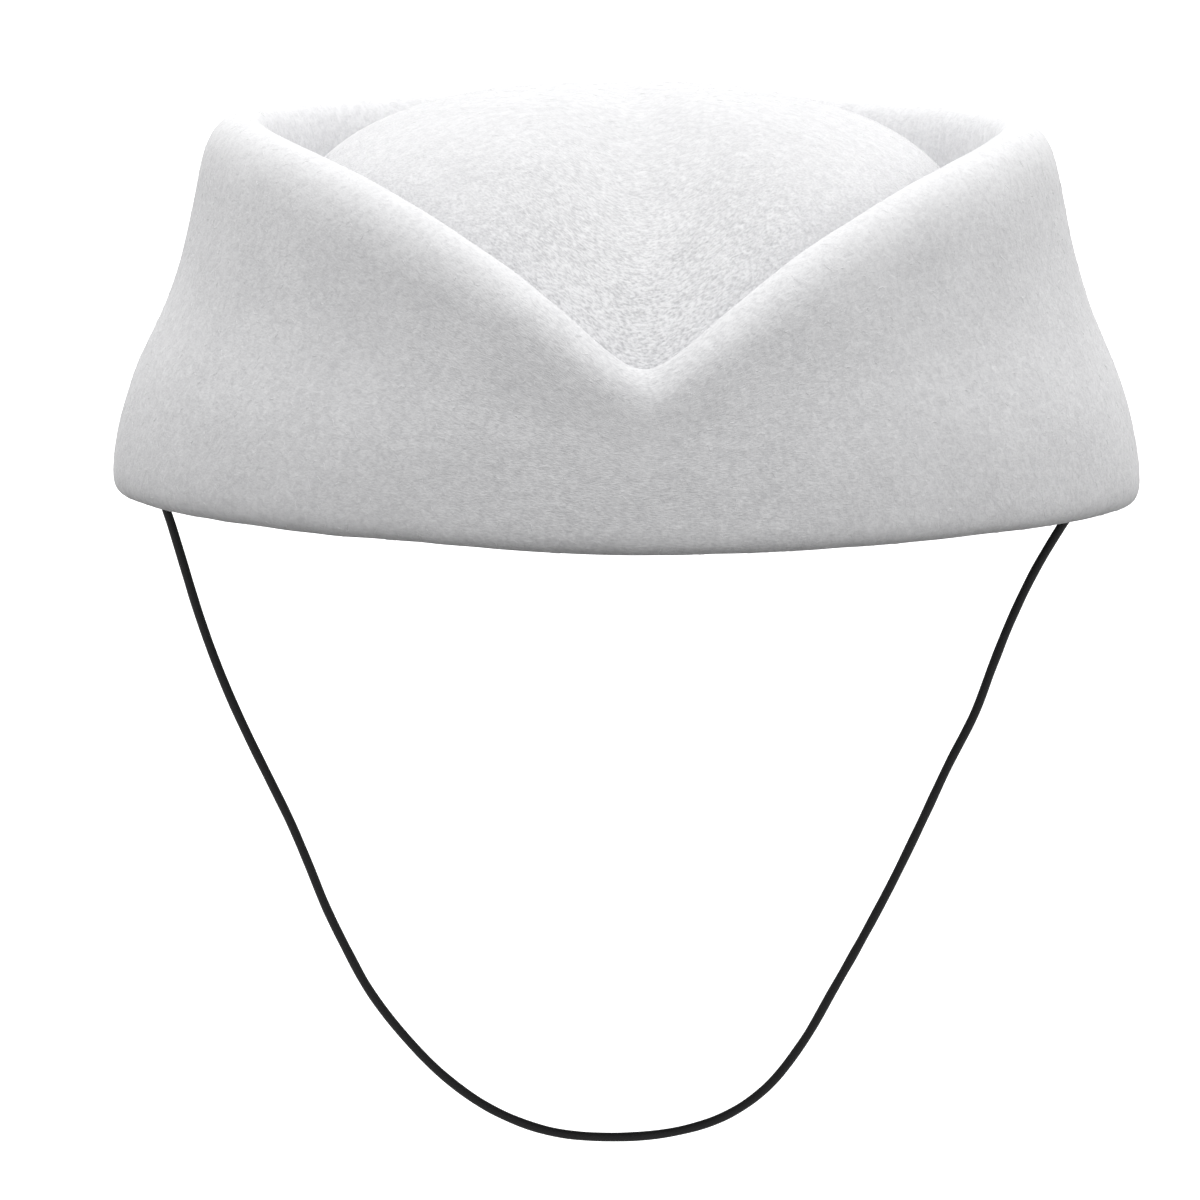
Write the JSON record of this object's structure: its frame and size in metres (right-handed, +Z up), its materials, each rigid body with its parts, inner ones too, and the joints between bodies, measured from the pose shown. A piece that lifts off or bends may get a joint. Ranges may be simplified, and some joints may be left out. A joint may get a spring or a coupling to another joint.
{
  "type": "pillbox hat",
  "caption": "Stewardess pillbox hat of white blocked wool felt: domed crown, turned-up cuff with a V notch in front, black elastic chin cord.",
  "frame": {"origin": "middle of the head opening, in the plane of the base edge", "axes": "+Z up through the crown, -Y to the front where the notch is, +X to the right of someone facing the hat"},
  "size_m": [0.1992, 0.2214, 0.2071],
  "materials": {
    "white_felt": "fulled and blocked wool felt, soft matt nap",
    "black_elastic": "braided round elastic, satin thread over a rubber core"
  },
  "bodies": {
    "root": {"felt_body": "white_felt", "chin_cord": "black_elastic", "cord_knot_left": "black_elastic", "cord_knot_right": "black_elastic"}
  },
  "joints": []
}
